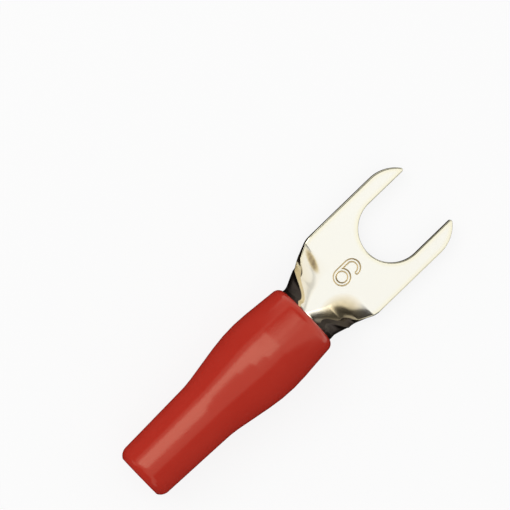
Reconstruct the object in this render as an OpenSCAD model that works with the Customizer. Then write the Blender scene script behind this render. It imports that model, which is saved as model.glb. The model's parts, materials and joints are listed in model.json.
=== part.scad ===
// Fork terminal with an insulating sleeve.
// The barrel's axis is the X axis of every module, with X = 0 at the sleeve's mouth, +X to the tine
// tips and +Z up. The finished part lies on Z = 0, with its origin under the middle of its length.

/* [Fork blade] */
// Width of the slot that takes the stud
slot_w = 6.4; // [5.3:0.1:8.4]
// Length of the slot, from the tine tips to its round bottom
slot_l = 7.8; // [6.5:0.1:11]
// Width of each tine
tine_w = 1.66; // [1.3:0.02:2.4]
// Radius of the outer arc that draws a tine to its tip
tine_arc_r = 3.6; // [3:0.1:6]
// Radius of the rounded tip
tip_r = 0.2; // [0.1:0.05:0.4]
// Length of the parallel blade behind the slot
root_l = 2.95; // [1.5:0.05:6]
// Thickness of the sheet
sheet_t = 0.9; // [0.6:0.05:1.2]

/* [Neck] */
// Angle of the neck's sides to the axis
neck_angle = 21; // [15:1:35]
// Radius where the neck's sides meet the parallel blade
shoulder_r = 2.3; // [1:0.1:4]
// Radius where the neck's sides meet the barrel
throat_r = 1.5; // [0.3:0.1:3]
// Share of the neck's length, from the blade, that is level across
level_share = 0.12; // [0.06:0.02:0.34]
// Share of the neck's length, from the blade, that has no folded flaps
flat_share = 0.36; // [0.36:0.02:0.5]
// Angle that the sheet's edge has turned, from level, where the neck meets the barrel
curl_end = 145; // [95:1:165]
// Angle that the floor's gentle dish has turned where the neck meets the barrel
dish_end = 32; // [10:1:60]
// Share of the floor's half width that is dished
dish_share = 0.7; // [0.2:0.05:0.9]
// Inner radius of the fold at the foot of each flap
fold_in_r = 0.05; // [0.05:0.05:0.6]
// Length of the straight flap above the fold, where it is longest
flap_l = 2.3; // [0.5:0.1:3.5]

/* [Crimp barrel] */
// Diameter of the bore that takes the bare wire
barrel_bore_d = 4.5; // [3.4:0.1:5]
// Length of the rolled barrel
barrel_l = 6.9; // [5:0.1:10]
// Length of barrel that stands out of the sleeve's mouth
stand_out = 0.3; // [0.3:0.1:2]
// Angle at which the rolled edges run together, seen from above
closing_angle = 45; // [40:1:70]
// Width of the butt seam along the top of the barrel
seam_w = 0.15; // [0.05:0.05:0.4]

/* [Sleeve] */
// Length of the sleeve
sleeve_l = 21.6; // [18:0.1:28]
// Thickness of the wall round the barrel, at the sleeve's widest place
belly_wall = 0.9; // [0.6:0.05:1.5]
// Thickness of the wall at the mouth
mouth_wall = 0.54; // [0.4:0.02:0.8]
// Distance from the mouth to the widest place
belly_x = 5.5; // [4:0.1:7]
// Radius of the swell at the widest place
belly_swell_r = 17; // [10:0.5:25]
// Distance from the mouth to where the cone meets the tail
cone_end_x = 12.5; // [11:0.1:15]
// Radius of the hollow between cone and tail
waist_r = 9; // [3:0.5:15]
// Thickness of the wall where the cone meets the tail
waist_wall = 0.84; // [0.6:0.02:1.2]
// Thickness of the wall just before the tail's rounded end
tail_wall = 0.58; // [0.4:0.02:0.9]
// Diameter of the bore that takes the insulated wire, over that of the barrel
entry_step = 0.1; // [0.05:0.05:0.6]
// Radius of the mouth's rounded lip
mouth_lip_r = 0.8; // [0.3:0.1:1]
// Radius of the tail's rounded lip
tail_lip_r = 1.1; // [0.4:0.1:1.3]
// Gap between the barrel and the sleeve round it
sleeve_gap = 0.05; // [0.02:0.01:0.1]

/* [Hidden] */

$fn = 96;
gold = [0.93, 0.78, 0.42];
red = [0.72, 0.16, 0.13];

// Metal sizes worked out from the ones above
blade_half_w = slot_w / 2 + tine_w;
bore_r = barrel_bore_d / 2;
barrel_r = bore_r + sheet_t;
barrel_back_x = stand_out - barrel_l;

// The neck's silhouette runs from the barrel over a hollow arc, a straight side and a round shoulder
throat_set = throat_r * tan(neck_angle / 2);
shoulder_set = shoulder_r * tan(neck_angle / 2);
side_x = stand_out + throat_set;
corner_x = side_x + (blade_half_w - barrel_r) / tan(neck_angle);
throat_end_x = stand_out + throat_r * sin(neck_angle);
blade_x = corner_x + shoulder_set;
shoulder_start_x = blade_x - shoulder_r * sin(neck_angle);
slot_bottom_x = blade_x + root_l;
tip_x = slot_bottom_x + slot_l;

// Steps along and across the neck, and how far its ends run into the barrel's wall and the blade
neck_steps = 22;
curl_steps = 48;
weld_l = 0.2;
weld_inset = 0.01;

// How early curl and dish gather along the neck, how late it rounds off, and a dish as good as level
curl_ease = 0.65;
dish_ease = 0.75;
rounding = 3;
level = 0.006;

// How far a cut runs past what it cuts
cut_past = 0.5;

// Sleeve sizes worked out from the barrel that it grips
grip_r = barrel_r + sleeve_gap;
entry_r = bore_r + entry_step / 2;
belly_r = grip_r + belly_wall;
waist_out_r = entry_r + waist_wall;
inner_slope = (barrel_r - entry_r) / (cone_end_x + barrel_back_x);
grip_end_x = barrel_back_x + sleeve_gap / inner_slope;

// How far a lip's arc reaches past its centre where the bore cuts it off
function lip_reach(lip_r, centre_r, hole_r) =
    centre_r < hole_r ? sqrt(lip_r * lip_r - (hole_r - centre_r) * (hole_r - centre_r)) : lip_r;

// The sleeve's outline is drawn as [radius, X] round these three centres
mouth_lip_c = let (c = grip_r + mouth_wall - mouth_lip_r) [c, -lip_reach(mouth_lip_r, c, grip_r)];
belly_c = [belly_r - belly_swell_r, -belly_x];
waist = [waist_out_r, -cone_end_x];
tail_lip_c = let (c = entry_r + tail_wall - tail_lip_r) [c, lip_reach(tail_lip_r, c, entry_r) - sleeve_l];

// The part's place: on the table by the sleeve's widest round, middle of its length over the origin
place = [(sleeve_l - tip_x) / 2, 0, belly_r];

// Outward normal of the line that touches two circles on their outer side, going to smaller X
function tangent_normal(c1, r1, c2, r2) =
    let (d = c2 - c1)
    let (a = atan2(d.y, d.x) + acos((r1 - r2) / norm(d)))
    [cos(a), sin(a)];

// Half width of the neck, seen from above, at X
function neck_half_w(x) =
    x < throat_end_x ? barrel_r + throat_r - sqrt(throat_r ^ 2 - max(x - stand_out, 0) ^ 2) :
    x < shoulder_start_x ? barrel_r + (x - side_x) * tan(neck_angle) :
    blade_half_w - shoulder_r + sqrt(shoulder_r ^ 2 - max(blade_x - x, 0) ^ 2);

// A share from 0 to 1 that starts and ends gently, early for a power below 1
function eased(share, power) = let (s = share ^ power) s * s * (3 - 2 * s);

// The underside's section at X: floor half width, dish radius and angle, fold radius, edge angle, flap
function neck_form(x) =
    let (s = min(max((blade_x - x) / (blade_x - stand_out), 0), 1))
    let (curl = max((s - flat_share) / (1 - flat_share), 0))
    let (sink = max((s - level_share) / (1 - level_share), 0))
    let (rounded = curl ^ rounding)
    let (dish = max(dish_end * eased(sink, dish_ease), level))
    let (edge = max(curl_end * eased(curl, curl_ease), dish))
    let (fold_r = (sheet_t + fold_in_r) * (1 - rounded) + barrel_r * rounded)
    let (flap = flap_l * eased(curl, curl_ease) ^ 2 * (1 - rounded))
    let (upright = min(edge, 90))
    let (half_w = neck_half_w(x) - weld_inset * (1 - rounded))
    let (room = half_w - fold_r * (sin(upright) - sin(dish)) - flap * cos(upright))
    let (floor_w = room * (1 - dish_share) * (1 - rounded))
    [floor_w, (room - floor_w) / sin(dish), dish, fold_r, edge, flap];

// Length of an arc from its radius and angle
function arc_l(r, a) = r * a * PI / 180;

// A point of a section, lifted by t along the sheet's normal; v runs from edge to edge
function sheet_point(x, form, v, t) =
    let (floor_w = form[0])
    let (dish_r = form[1])
    let (dish = form[2])
    let (fold_r = form[3])
    let (fold = form[4] - dish)
    let (flap = form[5])
    let (dish_l = arc_l(dish_r, dish))
    let (fold_l = arc_l(fold_r, fold))
    let (s = abs(v) * (floor_w + dish_l + fold_l + flap))
    let (in_dish = dish * min(max((s - floor_w) / dish_l, 0), 1))
    let (in_fold = min(max((s - floor_w - dish_l) / arc_l(fold_r, 1), 0), fold))
    let (a = in_dish + in_fold)
    let (past = max(s - floor_w - dish_l - fold_l, 0))
    let (y = min(s, floor_w) + (dish_r - fold_r) * sin(in_dish) + (fold_r - t) * sin(a) + past * cos(a))
    let (z = dish_r - (dish_r - fold_r) * cos(in_dish) - (fold_r - t) * cos(a) + past * sin(a))
    [x, sign(v) * y, z - barrel_r];

// One section of the neck: along the underside, then back along the upper side
function neck_section(x) =
    let (form = neck_form(x))
    let (across = [for (i = [0 : curl_steps]) 2 * i / curl_steps - 1])
    concat(
        [for (v = across) sheet_point(x, form, v, weld_inset)],
        [for (i = [curl_steps : -1 : 0]) sheet_point(x, form, across[i], sheet_t - weld_inset)]);

// The neck as a loft, from inside the barrel's wall to inside the blade
module neck() {
    stations = concat([stand_out - weld_l],
        [for (i = [0 : neck_steps]) stand_out + (blade_x - stand_out) * i / neck_steps],
        [blade_x + weld_l]);
    count = 2 * (curl_steps + 1);
    last = (len(stations) - 1) * count;
    sides = [for (i = [0 : len(stations) - 2], j = [0 : count - 1])
        let (a = i * count + j, b = i * count + (j + 1) % count)
        each [[a, b + count, b], [a, a + count, b + count]]];
    back = [for (j = [0 : curl_steps - 1])
        let (k = count - 1 - j)
        each [[j, k - 1, k], [j, j + 1, k - 1]]];
    front = [for (f = back) [last + f[2], last + f[1], last + f[0]]];
    polyhedron([for (x = stations) each neck_section(x)], concat(sides, back, front), convexity = 6);
}

// One tine beyond the straight blade, drawn to its tip by the outer arc
module tine_end() {
    arc_y = blade_half_w - tine_arc_r;
    tip_y = slot_w / 2 + tip_r;
    reach = sqrt((tine_arc_r - tip_r) ^ 2 - (tip_y - arc_y) ^ 2);
    tip_c = [tip_x - tip_r, tip_y];
    arc_c = [tip_c.x - reach, arc_y];
    touch = arc_c + (tip_c - arc_c) * tine_arc_r / (tine_arc_r - tip_r);
    past_x = tip_x + tip_r;
    difference() {
        intersection() {
            translate(arc_c)
                circle(tine_arc_r);
            translate([slot_bottom_x, slot_w / 2])
                square([tip_x - slot_bottom_x, tine_w]);
        }
        polygon([[tip_c.x, slot_w / 2], tip_c, touch, [past_x, touch.y], [past_x, slot_w / 2]]);
        translate([slot_bottom_x - tine_arc_r, 0])
            square([arc_c.x - slot_bottom_x + tine_arc_r, blade_half_w]);
    }
    translate(tip_c)
        circle(tip_r);
    translate([blade_x, slot_w / 2])
        square([arc_c.x - blade_x, tine_w]);
}

// The flat blade, with the slot's round bottom between the tines
module blade() {
    slot_c_x = slot_bottom_x + slot_w / 2;
    linear_extrude(sheet_t) {
        difference() {
            translate([blade_x, -slot_w / 2])
                square([slot_c_x - blade_x, slot_w]);
            translate([slot_c_x, 0])
                circle(slot_w / 2);
        }
        tine_end();
        mirror([0, 1])
            tine_end();
    }
}

// The rolled barrel: a tube slit along the top, cut open at the front to where the neck's edges meet it
module barrel() {
    mouth_l = bore_r * sin(curl_end) / tan(closing_angle) - weld_l;
    flare = barrel_r * 2;
    difference() {
        translate([barrel_back_x, 0, 0])
            rotate([0, 90, 0])
                cylinder(r = barrel_r, h = barrel_l);
        translate([barrel_back_x - cut_past, 0, 0])
            rotate([0, 90, 0])
                cylinder(r = bore_r, h = barrel_l + 2 * cut_past);
        translate([barrel_back_x - cut_past, -seam_w / 2, 0])
            cube([barrel_l + 2 * cut_past, seam_w, flare]);
        linear_extrude(flare)
            polygon([[stand_out - mouth_l, 0],
                [stand_out - mouth_l + flare / tan(closing_angle), flare],
                [stand_out - mouth_l + flare / tan(closing_angle), -flare]]);
    }
}

module metal_fork() {
    color(gold)
        translate(place) {
            translate([0, 0, -barrel_r])
                blade();
            neck();
            barrel();
        }
}

// The sliver between a corner and the arc that rounds it, on the way from p0 over p to p1
module corner_fill(p0, p, p1, r) {
    in_dir = (p0 - p) / norm(p0 - p);
    out_dir = (p1 - p) / norm(p1 - p);
    half = acos(in_dir * out_dir) / 2;
    difference() {
        polygon([p + in_dir * r / tan(half), p, p + out_dir * r / tan(half)]);
        translate(p + (in_dir + out_dir) / norm(in_dir + out_dir) * r / sin(half))
            circle(r);
    }
}

// The sleeve's outside, from the mouth's lip over the belly and the cone to the tail's lip
module sleeve_outside() {
    side = tangent_normal(mouth_lip_c, mouth_lip_r, belly_c, belly_swell_r);
    cone = tangent_normal(belly_c, belly_swell_r, waist, 0);
    tail = tangent_normal(waist, 0, tail_lip_c, tail_lip_r);
    belly_front = belly_c + belly_swell_r * side;
    belly_back = belly_c + belly_swell_r * cone;
    tail_end = tail_lip_c + tail_lip_r * tail;
    polygon([[0, tail_lip_c.y - tail_lip_r], tail_lip_c - [0, tail_lip_r], tail_end, waist, belly_back,
        belly_front, mouth_lip_c + mouth_lip_r * side, mouth_lip_c + [0, mouth_lip_r],
        [0, mouth_lip_c.y + mouth_lip_r]]);
    translate(mouth_lip_c)
        circle(mouth_lip_r);
    translate(tail_lip_c)
        circle(tail_lip_r);
    intersection() {
        translate(belly_c)
            circle(belly_swell_r, $fn = 360);
        translate([0, belly_back.y])
            square([2 * belly_r, belly_front.y - belly_back.y]);
    }
    corner_fill(belly_back, waist, tail_end, waist_r);
}

// The sleeve's inside: the grip round the barrel, the seat at its back, the cone and the wire's entry
module sleeve_inside() {
    past = belly_r;
    polygon([[0, -sleeve_l - past], [entry_r, -sleeve_l - past], [entry_r, -cone_end_x],
        [grip_r, grip_end_x], [grip_r, past], [0, past]]);
}

module vinyl_sleeve() {
    color(red)
        translate(place)
            rotate([0, 90, 0])
                rotate_extrude()
                    difference() {
                        intersection() {
                            sleeve_outside();
                            translate([0, -2 * sleeve_l])
                                square([2 * belly_r, 4 * sleeve_l]);
                        }
                        sleeve_inside();
                    }
}

metal_fork();
vinyl_sleeve();
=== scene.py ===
import json
import math

import bpy
import numpy as np
from mathutils import Matrix, Vector, noise
from mathutils.geometry import delaunay_2d_cdt
from mathutils.kdtree import KDTree


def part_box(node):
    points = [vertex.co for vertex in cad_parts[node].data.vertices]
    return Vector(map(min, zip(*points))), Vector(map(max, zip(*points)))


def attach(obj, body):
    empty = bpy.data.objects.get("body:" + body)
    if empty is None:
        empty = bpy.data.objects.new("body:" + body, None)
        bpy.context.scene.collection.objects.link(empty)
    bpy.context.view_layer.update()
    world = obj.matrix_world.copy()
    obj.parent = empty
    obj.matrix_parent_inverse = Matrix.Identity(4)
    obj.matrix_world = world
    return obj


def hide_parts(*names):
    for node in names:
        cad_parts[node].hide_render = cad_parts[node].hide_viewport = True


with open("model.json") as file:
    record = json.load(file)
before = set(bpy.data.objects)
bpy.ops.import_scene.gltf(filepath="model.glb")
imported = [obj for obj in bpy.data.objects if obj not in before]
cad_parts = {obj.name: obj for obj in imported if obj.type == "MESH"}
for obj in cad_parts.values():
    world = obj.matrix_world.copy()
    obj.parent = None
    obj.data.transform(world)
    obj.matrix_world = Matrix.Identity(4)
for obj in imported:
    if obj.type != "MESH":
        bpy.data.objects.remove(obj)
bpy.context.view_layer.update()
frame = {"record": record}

MM = 0.001
mounts = {mount["name"]: mount for mount in frame["record"]["mounts"]}
fork_low, fork_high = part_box("metal_fork")
sleeve_low, sleeve_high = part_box("vinyl_sleeve")

# Fork sizes that the frame gives
AXIS_Z = mounts["conductor_barrel"]["pos_m"][2]
BORE_R = mounts["conductor_barrel"]["dims"]["r_mm"] * MM
BARREL_L = mounts["conductor_barrel"]["dims"]["length_mm"] * MM
SLOT_R = mounts["stud_slot"]["dims"]["r_mm"] * MM
SLOT_X = mounts["stud_slot"]["pos_m"][0]
UNDER_Z = mounts["contact_face"]["pos_m"][2]
SHEET = mounts["nut_face"]["pos_m"][2] - UNDER_Z
BARREL_R = BORE_R + SHEET
BLADE_W = fork_high.y
TIP_X = fork_high.x
BACK_X = fork_low.x
THROAT_X = BACK_X + BARREL_L

# Fork sizes of its own: outline, tines, seam and the round on every stamped edge
NECK_ANGLE = math.radians(21)
SHOULDER_R = 2.3 * MM
THROAT_R = 1.5 * MM
TINE_ARC_R = 3.6 * MM
TIP_R = 0.2 * MM
SEAM_W = 0.15 * MM
EDGE_R = 0.12 * MM

# The neck, from the blade to the barrel: how long its sides stay flat, and how far they then curl up
FLAT_SHARE = 0.36
CURL_END = math.radians(145)
CURL_EASE = 0.65

# Its floor's dish: where it begins, how steep it ends, how much of the width it takes, the least slope
LEVEL_SHARE = 0.12
DISH_END = math.radians(32)
DISH_EASE = 0.75
DISH_SHARE = 0.7
LEAST_DISH = 1e-4

# The fold beside the dish, the flap past it, and how late both round off into the barrel
FOLD_R = SHEET + 0.05 * MM
FLAP_L = 2.3 * MM
ROUNDING = 3

# Where the neck's straight side, the blade and the notch at the seam begin
SIDE_X = THROAT_X + THROAT_R * math.tan(NECK_ANGLE / 2)
BLADE_X = (SIDE_X + (BLADE_W - BARREL_R) / math.tan(NECK_ANGLE)
           + SHOULDER_R * math.tan(NECK_ANGLE / 2))
NOTCH_X = THROAT_X - BARREL_R * math.sin(CURL_END)

# The size mark stamped into the blade: a loop, a straight back and a hook
MARK_X = BLADE_X - 0.41 * MM
MARK_LOOP_R = 0.68 * MM
MARK_RISE = 1.3 * MM
MARK_STROKE = 0.27 * MM
MARK_WALL = 0.13 * MM
MARK_DEPTH = 0.11 * MM

# Width of the yellower rim, where the plate is thickest
RIM_W = 0.5 * MM

# How far the sheet has turned where the painted shade on the flaps begins and where it is full, and how much
# earlier that is on the right-hand flap; the dark colour stands in for shade and dark reflections inside the
# folds
FOLD_SHADE_FROM = math.radians(36)
FOLD_SHADE_FULL = math.radians(70)
FOLD_SHADE_EARLY = math.radians(30)

# Painted dark reflections on the upper side beside the folds: middle, reach along and across, slant, strength
DARK_REFLECTIONS = [
    (BLADE_X - 3.0 * MM, -2.7 * MM, 2.1 * MM, 2.0 * MM, 0.0, 0.5),
    (BLADE_X - 1.4 * MM, 3.1 * MM, 0.4 * MM, 1.25 * MM, 0.28, 0.75),
]

# Where a painted dark reflection has faded out, in squares of its reach
DARK_REFLECTION_END = 1.25

# Spacing of the points on the outline, round the tips, over the sheet and in the size mark
OUTLINE_STEP = 0.12 * MM
TIP_STEP = OUTLINE_STEP / 4
SHEET_STEP = 0.13 * MM
MARK_STEP = 0.022 * MM
NOTCH_POINTS = 30
NECK_POINTS = 90

# Sleeve sizes: its ends, and its bore, which grips the barrel and narrows from the barrel's back end on
MOUTH_X = sleeve_high.x
TAIL_X = sleeve_low.x
GRIP_R = BARREL_R + 0.05 * MM
ENTRY_R = mounts["cable_entry"]["dims"]["r_mm"] * MM
SEAT_X = BACK_X + 0.4 * MM
SEAT_ROUND = 0.3 * MM
ENTRY_ROUND = 0.6 * MM

# Corners of the sleeve's outside before rounding, and their rounds: mouth, belly, waist and tail
MOUTH_CORNER_R = 3.672 * MM
MOUTH_ROUND = 0.8 * MM
BELLY_X = MOUTH_X - 6.208 * MM
BELLY_CORNER_R = 4.232 * MM
BELLY_ROUND = 17 * MM
WAIST_X = MOUTH_X - 12.5 * MM
WAIST_CORNER_R = 3.14 * MM
WAIST_ROUND = 9 * MM
TAIL_CORNER_R = 2.8455 * MM
TAIL_ROUND = 1.1 * MM

# How far the lips' rounds would reach past the ends, if the bore didn't cut them short
MOUTH_CUT = 0.043 * MM
TAIL_CUT = 0.131 * MM

# The sleeve's unevenness, and the spacing of its points
UNEVEN_L = 3.5 * MM
UNEVEN_DEPTH = 0.008 * MM
SLEEVE_STEP = 0.2 * MM
SLEEVE_SEGMENTS = 192
SHARP_EDGE = math.radians(40)


# Fork


def neck_half_width(x):
    """Half width of the blade, the neck and the barrel seen from above, at x."""
    throat_end = THROAT_X + THROAT_R * math.sin(NECK_ANGLE)
    shoulder_start = BLADE_X - SHOULDER_R * math.sin(NECK_ANGLE)
    past_throat = np.maximum(x - THROAT_X, 0)
    before_blade = np.maximum(BLADE_X - x, 0)
    hollow = BARREL_R + THROAT_R - np.sqrt(np.maximum(THROAT_R**2 - past_throat**2, 0))
    side = BARREL_R + (x - SIDE_X) * math.tan(NECK_ANGLE)
    shoulder = BLADE_W - SHOULDER_R + np.sqrt(np.maximum(SHOULDER_R**2 - before_blade**2, 0))
    return np.where(x < throat_end, hollow, np.where(x < shoulder_start, side, shoulder))


def eased(share, power):
    """A share from 0 to 1 that starts and ends gently, early for a power below 1."""
    early = share**power
    return early**2 * (3 - 2 * early)


def neck_form(x):
    """Section of the sheet's underside at x: flat half width, dish and fold as radius and end angle, flap."""
    share = np.clip((BLADE_X - x) / (BLADE_X - THROAT_X), 0, 1)
    curl = np.clip((share - FLAT_SHARE) / (1 - FLAT_SHARE), 0, 1)
    sink = np.clip((share - LEVEL_SHARE) / (1 - LEVEL_SHARE), 0, 1)
    rounded_off = curl**ROUNDING
    edge = CURL_END * eased(curl, CURL_EASE)
    dish = np.maximum(DISH_END * eased(sink, DISH_EASE), LEAST_DISH)
    edge = np.maximum(edge, dish)
    fold_r = FOLD_R + (BARREL_R - FOLD_R) * rounded_off
    flap = FLAP_L * eased(curl, CURL_EASE) ** 2 * (1 - rounded_off)
    upright = np.minimum(edge, math.pi / 2)
    room = neck_half_width(x) - fold_r * (np.sin(upright) - np.sin(dish)) - flap * np.cos(upright)
    floor = room * (1 - DISH_SHARE) * (1 - rounded_off)
    dish_r = (room - floor) / np.sin(dish)
    return floor, dish_r, dish, fold_r, edge, flap


def flat_half_width(x):
    """Half width of the neck in the flat pattern, before the sheet is rolled."""
    floor, dish_r, dish, fold_r, edge, flap = neck_form(x)
    return floor + dish_r * dish + fold_r * (edge - dish) + flap


def turns(x, y):
    """How far the sheet has turned in its dish and in its fold at a point of the flat pattern."""
    floor, dish_r, dish, fold_r, edge, _ = neck_form(x)
    last = np.where(x < THROAT_X, math.pi, edge)
    in_dish = np.clip((np.abs(y) - floor) / dish_r, 0, dish)
    in_fold = np.clip((np.abs(y) - floor - dish_r * dish) / fold_r, 0, last - dish)
    return in_dish, in_fold


def roll(x, y, lift):
    """Where a point of the flat pattern goes when the sheet is rolled, lift above its underside."""
    floor, dish_r, _, fold_r, _, _ = neck_form(x)
    in_dish, in_fold = turns(x, y)
    angle = in_dish + in_fold
    past = np.maximum(np.abs(y) - floor - dish_r * in_dish - fold_r * in_fold, 0)
    across = (np.minimum(np.abs(y), floor) + (dish_r - fold_r) * np.sin(in_dish)
              + (fold_r - lift) * np.sin(angle) + past * np.cos(angle))
    up = (dish_r - (dish_r - fold_r) * np.cos(in_dish)
          - (fold_r - lift) * np.cos(angle) + past * np.sin(angle))
    return np.stack([x, np.sign(y) * across, UNDER_Z + up], axis=-1)


def rolled_normal(x, y, lift, flat_normal):
    """The direction that a normal of the flat pattern takes in the rolled sheet."""
    small = 1e-7
    along = roll(x + small, y, lift) - roll(x - small, y, lift)
    across = roll(x, y + small, lift) - roll(x, y - small, lift)
    out = roll(x, y, lift + small) - roll(x, y, lift - small)
    turned = (flat_normal[..., :1] * np.cross(across, out)
              + flat_normal[..., 1:2] * np.cross(out, along)
              + flat_normal[..., 2:] * np.cross(along, across))
    return turned / np.linalg.norm(turned, axis=-1, keepdims=True)


def line(start, end, step=OUTLINE_STEP):
    """Evenly spaced points from start up to but not on end."""
    count = max(1, round(math.dist(start, end) / step))
    share = np.arange(count)[:, None] / count
    return np.array(start) * (1 - share) + np.array(end) * share


def arc(centre, radius, start_deg, end_deg, step=OUTLINE_STEP):
    """Evenly spaced points on an arc, up to but not on its end."""
    count = max(3, round(abs(math.radians(end_deg - start_deg)) * radius / step))
    angle = np.radians(start_deg + (end_deg - start_deg) * np.arange(count) / count)
    return np.array(centre) + radius * np.stack([np.cos(angle), np.sin(angle)], axis=-1)


def tine_arc_centre():
    """Centre of the outer arc that draws a tine to its tip."""
    reach = math.sqrt((TINE_ARC_R - TIP_R) ** 2 - (SLOT_R + TIP_R - BLADE_W + TINE_ARC_R) ** 2)
    return np.array([TIP_X - TIP_R - reach, BLADE_W - TINE_ARC_R])


def half_outline():
    """One half of the flat pattern's outline, from the barrel's back edge to the bottom of the slot."""
    seam_y = math.pi * BARREL_R - SEAM_W / 2
    turn = np.linspace(SEAM_W / 2 / BARREL_R, math.pi - CURL_END, NOTCH_POINTS, endpoint=False)
    notch = np.stack([NOTCH_X + BARREL_R * np.sin(turn), BARREL_R * (math.pi - turn)], axis=-1)
    neck_x = np.linspace(THROAT_X, BLADE_X, NECK_POINTS, endpoint=False)
    neck = np.stack([neck_x, flat_half_width(neck_x)], axis=-1)
    arc_centre = tine_arc_centre()
    tip_centre = np.array([TIP_X - TIP_R, SLOT_R + TIP_R])
    touch_deg = math.degrees(math.atan2(*(tip_centre - arc_centre)[::-1]))
    return np.concatenate([
        line((BACK_X, 0), (BACK_X, seam_y)),
        line((BACK_X, seam_y), notch[0]),
        notch,
        neck,
        line((BLADE_X, BLADE_W), (arc_centre[0], BLADE_W)),
        arc(arc_centre, TINE_ARC_R, 90, touch_deg),
        arc(tip_centre, TIP_R, touch_deg, -90, TIP_STEP),
        line((tip_centre[0], SLOT_R), (SLOT_X, SLOT_R)),
        arc((SLOT_X, 0), SLOT_R, 90, 180),
    ])


def left_of(steps):
    """Unit directions to the left of steps along an outline."""
    left = np.stack([-steps[:, 1], steps[:, 0]], axis=-1)
    return left / np.linalg.norm(steps, axis=1, keepdims=True)


def flat_outline():
    """The flat pattern's outline, anticlockwise, with the inward direction at each point."""
    upper = half_outline()
    bottom_of_slot = np.array([[SLOT_X - SLOT_R, 0]])
    lower = upper[1:] * (1, -1)
    points = np.concatenate([upper[:1], lower, bottom_of_slot, upper[:0:-1]])
    before = points - np.roll(points, 1, axis=0)
    after = np.roll(points, -1, axis=0) - points
    inward = left_of(before) + left_of(after)
    inward /= (inward * left_of(before)).sum(axis=1, keepdims=True)
    return points, inward


def inside_pattern(x, y, margin):
    """Which points lie in the flat pattern, at least margin from its edge."""
    y = np.abs(y)
    turn = np.arcsin(np.clip((x - NOTCH_X) / BARREL_R, SEAM_W / 2 / BARREL_R, 1))
    narrowest = np.minimum(flat_half_width(x - margin), flat_half_width(x + margin))
    rolled = y < np.where(x < THROAT_X, BARREL_R * (math.pi - turn) - margin / 2, narrowest) - margin
    arc_centre = tine_arc_centre()
    in_arc = np.hypot(np.maximum(x - arc_centre[0], 0), y - arc_centre[1]) < TINE_ARC_R - margin
    in_tine = in_arc | (x < arc_centre[0])
    in_slot = np.where(x > SLOT_X, y, np.hypot(x - SLOT_X, y)) < SLOT_R + margin
    near_tip = x > TIP_X - 2 * TIP_R - margin
    near_corner = (np.abs(x - THROAT_X) < margin) & (y > flat_half_width(x) - 3 * margin)
    return (x > BACK_X + margin) & rolled & in_tine & ~(in_slot | near_tip | near_corner)


def grid(low, high, step):
    """Points of a square grid between two corners."""
    xs = np.arange(low[0], high[0], step)
    ys = np.arange(low[1], high[1], step)
    return np.stack(np.meshgrid(xs, ys), axis=-1).reshape(-1, 2)


def mark_distance(x, y):
    """Distance of points on the blade from the middle of the size mark's stroke."""
    hook_x = MARK_X + MARK_RISE
    loop = np.abs(np.hypot(x - MARK_X, y) - MARK_LOOP_R)
    back = np.hypot(x - np.clip(x, MARK_X, hook_x), y - MARK_LOOP_R)
    bend = np.abs(np.hypot(x - hook_x, y) - MARK_LOOP_R)
    hook_end = np.hypot(x - hook_x, y + MARK_LOOP_R)
    return np.minimum(np.minimum(loop, back), np.where(x > hook_x, bend, hook_end))


def mark_depth(x, y):
    """How deep the size mark is stamped at points on the blade: a flat groove with sloping walls."""
    share = np.clip((MARK_STROKE / 2 + MARK_WALL / 2 - mark_distance(x, y)) / MARK_WALL, 0, 1)
    return MARK_DEPTH * share


def mark_slope(x, y):
    """How steeply the size mark deepens along x and along y."""
    small = 1e-6
    slope_x = (mark_depth(x + small, y) - mark_depth(x - small, y)) / (2 * small)
    slope_y = (mark_depth(x, y + small) - mark_depth(x, y - small)) / (2 * small)
    return slope_x, slope_y


def dark_reflection_share(x, y, middle_x, middle_y, reach_x, reach_y, slant, strength):
    """How strongly a soft-edged slanted oval of painted dark reflection colours points of the flat pattern.
    """
    across = y - middle_y
    along = x - middle_x - slant * across
    inside = DARK_REFLECTION_END - (along / reach_x) ** 2 - (across / reach_y) ** 2
    return strength * np.clip(inside, 0, 1)


def edge_distance(points, outline):
    """Distance of points of the flat pattern from its outline."""
    tree = KDTree(len(outline))
    for i, place in enumerate(outline):
        tree.insert((*place, 0), i)
    tree.balance()
    return np.array([tree.find((*place, 0))[2] for place in points])


def sheet_faces(outline, inner):
    """Triangles over the flat pattern, indexed into outline followed by inner points."""
    points = np.concatenate([outline, inner]) / MM
    ring = [(i, (i + 1) % len(outline)) for i in range(len(outline))]
    found = delaunay_2d_cdt([Vector(p) for p in points], ring, [], 1, 1e-7)
    source = [origin[0] for origin in found[3]]
    return np.array([[source[v] for v in face] for face in found[2]])


def mesh_object(name, vertices, faces, normals=None):
    """A smooth-shaded object from plain arrays."""
    mesh = bpy.data.meshes.new(name)
    mesh.from_pydata([tuple(v) for v in vertices], [], [tuple(int(i) for i in f) for f in faces])
    mesh.polygons.foreach_set("use_smooth", [True] * len(mesh.polygons))
    if normals is not None:
        mesh.normals_split_custom_set_from_vertices([tuple(n) for n in normals])
    made = bpy.data.objects.new(name, mesh)
    bpy.context.scene.collection.objects.link(made)
    return made


def edge_profile(steps=4):
    """The rounded edge from the underside to the upper side, as inset, lift, outward and upward share."""
    angle = np.linspace(0, math.pi / 2, steps + 1)
    sine = np.sin(angle)
    cosine = np.cos(angle)
    low = np.stack([EDGE_R * (1 - sine), EDGE_R * (1 - cosine), sine, -cosine], axis=1)
    high = np.stack([EDGE_R * (1 - cosine), SHEET - EDGE_R * (1 - sine), cosine, sine], axis=1)
    return np.concatenate([low, high])


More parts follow.
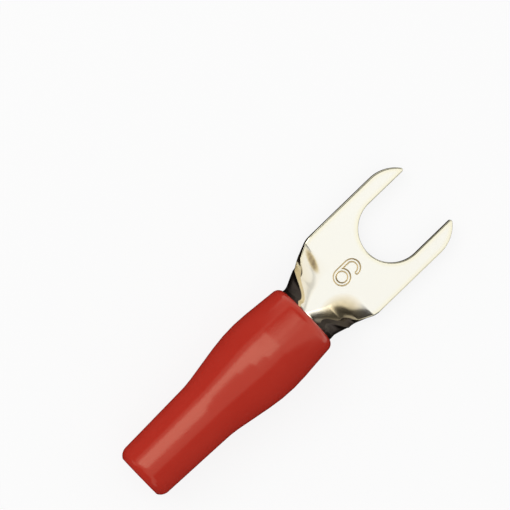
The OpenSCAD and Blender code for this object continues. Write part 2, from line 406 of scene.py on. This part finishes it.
def wear_and_shade_fork(fork, x, y, lift, outline):
    """Gives the fork's points what its finish reads: work, yellow rim, painted shade and painted dark
    reflections.

    Work is how far the sheet is bent or stamped. The painted shade lies on the flaps, but not on the cut edge
    of the left-hand one, and the painted dark reflections lie on the upper side alone.
    """
    on_top = lift > SHEET / 2
    wall = np.hypot(*mark_slope(x, y)) * MARK_WALL / MARK_DEPTH * on_top
    turned = sum(turns(x, y))
    cut_edge = (lift > EDGE_R / 2) & (lift < SHEET - EDGE_R / 2)
    # Painted shade: the flaps darken the further the sheet has turned, sooner on the right-hand flap,
    # standing in for shade and dark reflections inside the folds
    past_start = turned + FOLD_SHADE_EARLY * (y < 0) - FOLD_SHADE_FROM
    tarnish = np.clip(past_start / (FOLD_SHADE_FULL - FOLD_SHADE_FROM), 0, 1)
    wear_and_shade = {
        "worked": np.clip(turned / (math.pi / 2) + wall, 0, 1),
        "rim": np.clip(1 - edge_distance(np.stack([x, y], axis=-1), outline) / RIM_W, 0, 1),
        "tarnish": tarnish * (~cut_edge | (y < 0)),
        # Painted dark reflections, on the upper side alone
        "stain": sum(dark_reflection_share(x, y, *spot) for spot in DARK_REFLECTIONS) * on_top,
    }
    for name, values in wear_and_shade.items():
        fork.data.attributes.new(name, "FLOAT", "POINT").data.foreach_set("value", values)


def stamped_fork():
    """The fork as one sheet: cut to its flat pattern, stamped with the size mark and rolled up."""
    outline, inward = flat_outline()
    level = inward / np.linalg.norm(inward, axis=1, keepdims=True)
    places = []
    flat_normals = []
    for inset, lift, outward, upward in edge_profile():
        ring = outline + inward * inset
        places.append(np.column_stack([ring, np.full(len(ring), lift)]))
        flat_normals.append(np.column_stack([-level * outward, np.full(len(ring), upward)]))
    count = len(outline)
    rings = len(places)
    faces = []
    for j in range(rings - 1):
        for i in range(count):
            k = (i + 1) % count
            faces.append((j * count + i, j * count + k, (j + 1) * count + k, (j + 1) * count + i))

    sheet = grid((BACK_X, -math.pi * BARREL_R), (TIP_X, math.pi * BARREL_R), SHEET_STEP)
    sheet = sheet[inside_pattern(sheet[:, 0], sheet[:, 1], EDGE_R + SHEET_STEP / 2)]
    reach = MARK_STROKE + MARK_WALL
    mark_low = np.array([MARK_X - MARK_LOOP_R - reach, -MARK_LOOP_R - reach])
    mark_high = np.array([MARK_X + MARK_RISE + MARK_LOOP_R + reach, MARK_LOOP_R + reach])
    margin = SHEET_STEP / 2
    in_mark = ((sheet > mark_low - margin) & (sheet < mark_high + margin)).all(axis=1)
    stamped = np.concatenate([sheet[~in_mark], grid(mark_low, mark_high, MARK_STEP)])
    start = rings * count
    for inner, ring, upper in ((stamped, (rings - 1) * count, True), (sheet, 0, False)):
        lift = SHEET - mark_depth(inner[:, 0], inner[:, 1]) if upper else np.zeros(len(inner))
        places.append(np.column_stack([inner, lift]))
        slope_x, slope_y = mark_slope(*inner.T)
        rising = np.column_stack([slope_x, slope_y, np.ones(len(inner))])
        flat_normals.append(rising if upper else np.tile((0, 0, -1.0), (len(inner), 1)))
        loop = outline + inward * EDGE_R
        triangles = sheet_faces(loop, inner)
        indexed = np.where(triangles < count, triangles + ring, triangles - count + start)
        faces.extend(indexed if upper else indexed[:, ::-1])
        start += len(inner)
    x, y, lift = np.concatenate(places).T
    normals = rolled_normal(x, y, lift, np.concatenate(flat_normals))
    fork = mesh_object("gold_fork", roll(x, y, lift), faces, normals)
    wear_and_shade_fork(fork, x, y, lift, outline)
    return fork


# Sleeve


def rounded(corners):
    """A polyline with an arc of the given radius at each corner but the first and last."""
    points = [np.array(corners[0][:2])]
    for before, (x, r, radius), after in zip(corners, corners[1:], corners[2:]):
        corner = np.array((x, r))
        back = np.array(before[:2]) - corner
        ahead = np.array(after[:2]) - corner
        back /= np.linalg.norm(back)
        ahead /= np.linalg.norm(ahead)
        half = math.acos(np.clip(back @ ahead, -1, 1)) / 2
        middle = back + ahead
        centre = corner + middle / np.linalg.norm(middle) * radius / math.sin(half)
        start = corner + back * radius / math.tan(half) - centre
        end = corner + ahead * radius / math.tan(half) - centre
        turn = math.atan2(start[0] * end[1] - start[1] * end[0], start @ end)
        for share in np.linspace(0, 1, max(4, round(abs(turn) / math.radians(4)))):
            angle = turn * share
            spin = np.array([[math.cos(angle), -math.sin(angle)], [math.sin(angle), math.cos(angle)]])
            points.append(centre + spin @ start)
    points.append(np.array(corners[-1][:2]))
    return np.array(points)


def spread(points, step):
    """A polyline with points added until none of its stretches is longer than step."""
    parts = [line(a, b, min(step, math.dist(a, b))) for a, b in zip(points, points[1:])]
    return np.concatenate(parts + [points[-1:]])


def sleeve_profile():
    """The sleeve's section as (x, radius): over the outside from mouth to tail, and back inside."""
    mouth_front = MOUTH_X + MOUTH_CUT
    tail_back = TAIL_X - TAIL_CUT
    outside = rounded([
        (mouth_front, 0, 0),
        (mouth_front, MOUTH_CORNER_R, MOUTH_ROUND),
        (BELLY_X, BELLY_CORNER_R, BELLY_ROUND),
        (WAIST_X, WAIST_CORNER_R, WAIST_ROUND),
        (tail_back, TAIL_CORNER_R, TAIL_ROUND),
        (tail_back, 0, 0),
    ])
    bore = np.where(outside[:, 0] > WAIST_X, GRIP_R, ENTRY_R)
    outside = outside[outside[:, 1] > bore]
    inside = rounded([
        (TAIL_X, ENTRY_R, 0),
        (WAIST_X, ENTRY_R, ENTRY_ROUND),
        (SEAT_X, GRIP_R, SEAT_ROUND),
        (MOUTH_X, GRIP_R, 0),
    ])
    return spread(np.concatenate([inside[-1:], outside, inside]), SLEEVE_STEP)


def drawn_sleeve():
    """The sleeve as a soft tube: its section turned about the barrel's axis, a little uneven as vinyl is."""
    profile = sleeve_profile()[:-1]
    rows = len(profile)
    turn = np.linspace(0, 2 * math.pi, SLEEVE_SEGMENTS, endpoint=False)
    vertices = []
    for x, radius in profile:
        for angle in turn:
            place = Vector((x, math.cos(angle) * radius, math.sin(angle) * radius))
            out = radius + (noise.noise(place / UNEVEN_L) - 1) * UNEVEN_DEPTH
            vertices.append((x, math.cos(angle) * out, AXIS_Z + math.sin(angle) * out))
    faces = []
    for i in range(rows):
        row = i * SLEEVE_SEGMENTS
        next_row = (i + 1) % rows * SLEEVE_SEGMENTS
        for j in range(SLEEVE_SEGMENTS):
            k = (j + 1) % SLEEVE_SEGMENTS
            faces.append((row + j, next_row + j, next_row + k, row + k))
    sleeve = mesh_object("red_sleeve", vertices, faces)
    sleeve.data.set_sharp_from_angle(angle=SHARP_EDGE)
    return sleeve


# Materials


class Wire:
    """An output in a shader's node tree. Arithmetic on it adds Math nodes, and node() adds any other."""

    def __init__(self, tree, output=None):
        self.tree = tree
        self.output = output

    def node(self, kind, settings=None, output=0, **sockets):
        """Adds a node, with its settings and its sockets, named with _ for a space or numbered as i0, i1."""
        made = self.tree.nodes.new("ShaderNode" + kind)
        for name, value in (settings or {}).items():
            setattr(made, name, value)
        for name, value in sockets.items():
            numbered = name[1:].isdigit()
            socket = made.inputs[int(name[1:]) if numbered else name.replace("_", " ")]
            if isinstance(value, Wire):
                self.tree.links.new(value.output, socket)
            else:
                socket.default_value = value
        return Wire(self.tree, made.outputs[output] if made.outputs else None)

    def maths(self, operation, *values):
        """Adds a Math node on wires and numbers."""
        return self.node("Math", {"operation": operation}, **{f"i{i}": v for i, v in enumerate(values)})

    def __add__(self, other):
        return self.maths("ADD", self, other)

    def __mul__(self, other):
        return self.maths("MULTIPLY", self, other)

    def __pow__(self, other):
        return self.maths("POWER", self, other)

    __radd__ = __add__
    __rmul__ = __mul__

    def mix(self, first, second):
        """The first colour where this value is 0, the second where it is 1."""
        return self.node("Mix", {"data_type": "RGBA"}, output=2, i0=self, i6=first, i7=second)


def new_material(name):
    """A material with an empty node tree, and the tree as a wire."""
    material = bpy.data.materials.new(name)
    material.use_nodes = True
    material.node_tree.nodes.clear()
    return material, Wire(material.node_tree)


def finish_material(tree, shader):
    """Joins a shader to the material's output."""
    tree.node("OutputMaterial", Surface=shader)


def polished_gold():
    """Polished gold plate: pale where flat, yellow at the rim, dull where worked, with painted shade on the
    flaps and painted dark reflections beside the folds.
    """
    material, tree = new_material("polished_gold")
    place = tree.node("TexCoord", output=3)
    worked, rim, tarnish, stain = (
        tree.node("Attribute", {"attribute_name": name}, output="Fac")
        for name in ("worked", "rim", "tarnish", "stain"))
    dulled = worked**0.5
    streaks = tree.node("TexNoise", Vector=place, Scale=2600.0, Detail=4.0, Roughness=0.65)
    cloud = tree.node("TexNoise", Vector=place, Scale=420.0, Detail=3.0)
    grain = tree.node("TexNoise", Vector=place, Scale=7000.0, Detail=4.0, Roughness=0.6)
    pale = cloud.mix((0.98, 0.97, 0.89, 1), (0.98, 0.955, 0.86, 1))
    rimmed = (rim * 0.9).mix(pale, (0.98, 0.92, 0.66, 1))
    bright = dulled.mix(rimmed, (0.86, 0.72, 0.44, 1))
    # Painted dark reflections beside the folds: a yellow halo round a brown core streaked by noise
    halo = (stain * 1.6).mix(bright, (0.86, 0.71, 0.4, 1))
    reflection_darkened = (stain * stain * (0.2 + 1.8 * streaks)).mix(halo, (0.2, 0.135, 0.08, 1))
    # Painted shade: nearly black on the flaps where the sheet has turned far
    colour = tarnish.mix(reflection_darkened, (0.07, 0.055, 0.045, 1))
    roughness = 0.05 + 0.05 * cloud + 0.38 * dulled
    bump = tree.node("Bump", Strength=0.06, Distance=0.02 * MM, Height=grain)
    finish_material(tree, tree.node(
        "BsdfPrincipled", Base_Color=colour, Metallic=1.0, Roughness=roughness, Normal=bump))
    return material


def soft_vinyl():
    """Soft red vinyl with a half gloss, a little cloudy in colour and in gloss."""
    material, tree = new_material("soft_vinyl")
    place = tree.node("TexCoord", output=3)
    cloud = tree.node("TexNoise", Vector=place, Scale=350.0, Detail=3.0)
    pores = tree.node("TexNoise", Vector=place, Scale=5000.0, Detail=3.0)
    colour = cloud.mix((0.49, 0.026, 0.015, 1), (0.53, 0.031, 0.018, 1))
    roughness = 0.16 + 0.05 * cloud
    bump = tree.node("Bump", Strength=0.05, Distance=0.03 * MM, Height=pores)
    finish_material(tree, tree.node(
        "BsdfPrincipled", Base_Color=colour, Roughness=roughness, Normal=bump, IOR=1.6,
        Specular_Tint=(1, 0.76, 0.55, 1)))
    return material


def white_floor():
    """A white studio floor that stays white to the eye and in reflections, and still takes a shadow."""
    material, tree = new_material("white_floor")
    white_share = 0.85
    seen = tree.node("LightPath", output="Is Camera Ray")
    rays = seen.output.node.outputs
    mirrored = Wire(tree.tree, rays["Is Glossy Ray"])
    seen_through = Wire(tree.tree, rays["Is Transmission Ray"])
    white = tree.node("Emission", Color=(1, 1, 1, 1), Strength=1.0)
    lit = tree.node("BsdfDiffuse", Color=(0.9, 0.9, 0.9, 1))
    shown = (seen + mirrored + seen_through) * white_share
    finish_material(tree, tree.node("MixShader", i0=shown, i1=lit, i2=white))
    return material


def dark_card():
    """A matt dark card."""
    material, tree = new_material("dark_card")
    finish_material(tree, tree.node("BsdfDiffuse", Color=(0.012, 0.008, 0.006, 1)))
    return material


# Studio


def look_matrix(toward_camera, axis_deg):
    """A camera's turn: it looks against toward_camera, with the part's X axis at axis_deg in the picture."""
    back = Vector(toward_camera).normalized()
    along = Vector((1, 0, 0))
    along = (along - along.dot(back) * back).normalized()
    side = back.cross(along)
    angle = math.radians(axis_deg)
    right = math.cos(angle) * along - math.sin(angle) * side
    up = math.sin(angle) * along + math.cos(angle) * side
    return Matrix((right, up, back)).transposed()


def place_camera():
    """The camera above the part, a little to the side and to the tail, with a long lens."""
    picture = 510
    pixel = 0.0934 * MM
    mouth_pixel = (306.1, 315.6)
    distance = 0.6
    axis_deg = 44.0
    to_tail = math.sin(math.radians(3))
    to_left = math.sin(math.radians(6))
    turn = look_matrix((-to_tail, to_left, 1), axis_deg)
    data = bpy.data.cameras.new("camera")
    data.sensor_width = 36
    data.lens = data.sensor_width * distance / (picture * pixel)
    data.clip_start = 0.01
    data.clip_end = 20
    camera = bpy.data.objects.new("camera", data)
    right, up, back = turn.transposed()
    mouth = Vector((MOUTH_X, 0, AXIS_Z))
    aim = (mouth - right * (mouth_pixel[0] - picture / 2) * pixel
           + up * (mouth_pixel[1] - picture / 2) * pixel)
    camera.matrix_world = Matrix.Translation(aim + back * distance) @ turn.to_4x4()
    bpy.context.scene.collection.objects.link(camera)
    bpy.context.scene.camera = camera


def stage_sheet(name, corners, material):
    """A flat sheet of the studio."""
    sheet = mesh_object(name, corners, [tuple(range(len(corners)))])
    sheet.data.materials.append(material)
    return sheet


def level_corners(z, xs, ys):
    """Corners of a level sheet."""
    return [(xs[0], ys[0], z), (xs[1], ys[0], z), (xs[1], ys[1], z), (xs[0], ys[1], z)]


def side_corners(y, xs, zs):
    """Corners of an upright sheet beside the part."""
    return [(xs[0], y, zs[0]), (xs[1], y, zs[0]), (xs[1], y, zs[1]), (xs[0], y, zs[1])]


def end_corners(x, ys, zs):
    """Corners of an upright sheet across the part's axis."""
    return [(x, ys[0], zs[0]), (x, ys[1], zs[0]), (x, ys[1], zs[1]), (x, ys[0], zs[1])]


def overhead(height, corners_deg):
    """Corners of a level sheet over the part, from angles from upright to +X and to +Y."""
    return [(height * math.tan(math.radians(x)), height * math.tan(math.radians(y)), height)
            for x, y in corners_deg]


def glowing_panel(name, corners, radiance):
    """A panel that lights the part, and that the camera doesn't see."""
    material, tree = new_material(name)
    finish_material(tree, tree.node("Emission", Strength=radiance))
    panel = stage_sheet(name, corners, material)
    panel.visible_camera = False
    return panel


def only_reflected(sheet):
    """Makes a sheet that nothing but reflections shows."""
    sheet.visible_camera = False
    sheet.visible_diffuse = False
    sheet.visible_shadow = False


def white_studio():
    """A white floor in a pale room, a soft key light, white panels, and dark flags."""
    reach = 6.0
    room = 0.65
    key_strength = 2.6
    white = 0.95
    stage_sheet("floor", level_corners(0, (-reach, reach), (-reach, reach)), white_floor())
    world = bpy.data.worlds.new("room")
    world.use_nodes = True
    world.node_tree.nodes["Background"].inputs["Color"].default_value = (room, room, room, 1)
    bpy.context.scene.world = world
    glowing_panel("key", overhead(0.7, [(-42, 50), (14, 50), (14, -4), (6, -4)]), key_strength)

    # White panels that the fork mirrors
    panels = {
        "top": overhead(0.72, [(-2, -13), (10, -13), (10, 1), (-2, 1)]),
        "reflector": overhead(0.71, [(14, -80), (80, -80), (80, -8), (14, -8)]),
        "near_top": level_corners(0.063, (0.010, 0.024), (-0.008, 0.011)),
    }
    for name, corners in panels.items():
        only_reflected(glowing_panel(name, corners, white))

    # Dark flags just over the floor, round the sleeve, and overhead where the right-hand fold mirrors them
    low = 0.00002
    flags = {
        "sleeve_flag": level_corners(low, (-0.3, 0.009), (-0.3, 0.35)),
        "blade_flag": level_corners(low, (0.009, 0.022), (-0.008, 0.008)),
        "left_flag": side_corners(0.03, (-0.04, 0.006), (0, 0.02)),
        "right_flag": side_corners(-0.012, (-0.022, 0.004), (0.012, 0.03)),
        "side_flag": side_corners(-0.03, (-0.04, 0.008), (0, 0.024)),
        "tail_flag": end_corners(-0.032, (-0.01, 0.01), (0, 0.022)),
        "near_flag": level_corners(0.062, (0.016, 0.055), (0.001, 0.1)),
        "neck_flag": level_corners(0.032, (0.0095, 0.03), (0.003, 0.03)),
        "tip_flag": overhead(0.71, [(14.5, -8), (45, -8), (45, 48), (14.5, 48)]),
    }
    for name, corners in flags.items():
        only_reflected(stage_sheet(name, corners, dark_card()))


# The part


def dress(piece, node, material):
    """Gives a piece its finish, and lets it stand for its node."""
    piece.data.materials.append(material)
    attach(piece, "root")
    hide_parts(node)


place_camera()
white_studio()
dress(stamped_fork(), "metal_fork", polished_gold())
dress(drawn_sleeve(), "vinyl_sleeve", soft_vinyl())
bpy.context.scene.view_settings.view_transform = "Standard"
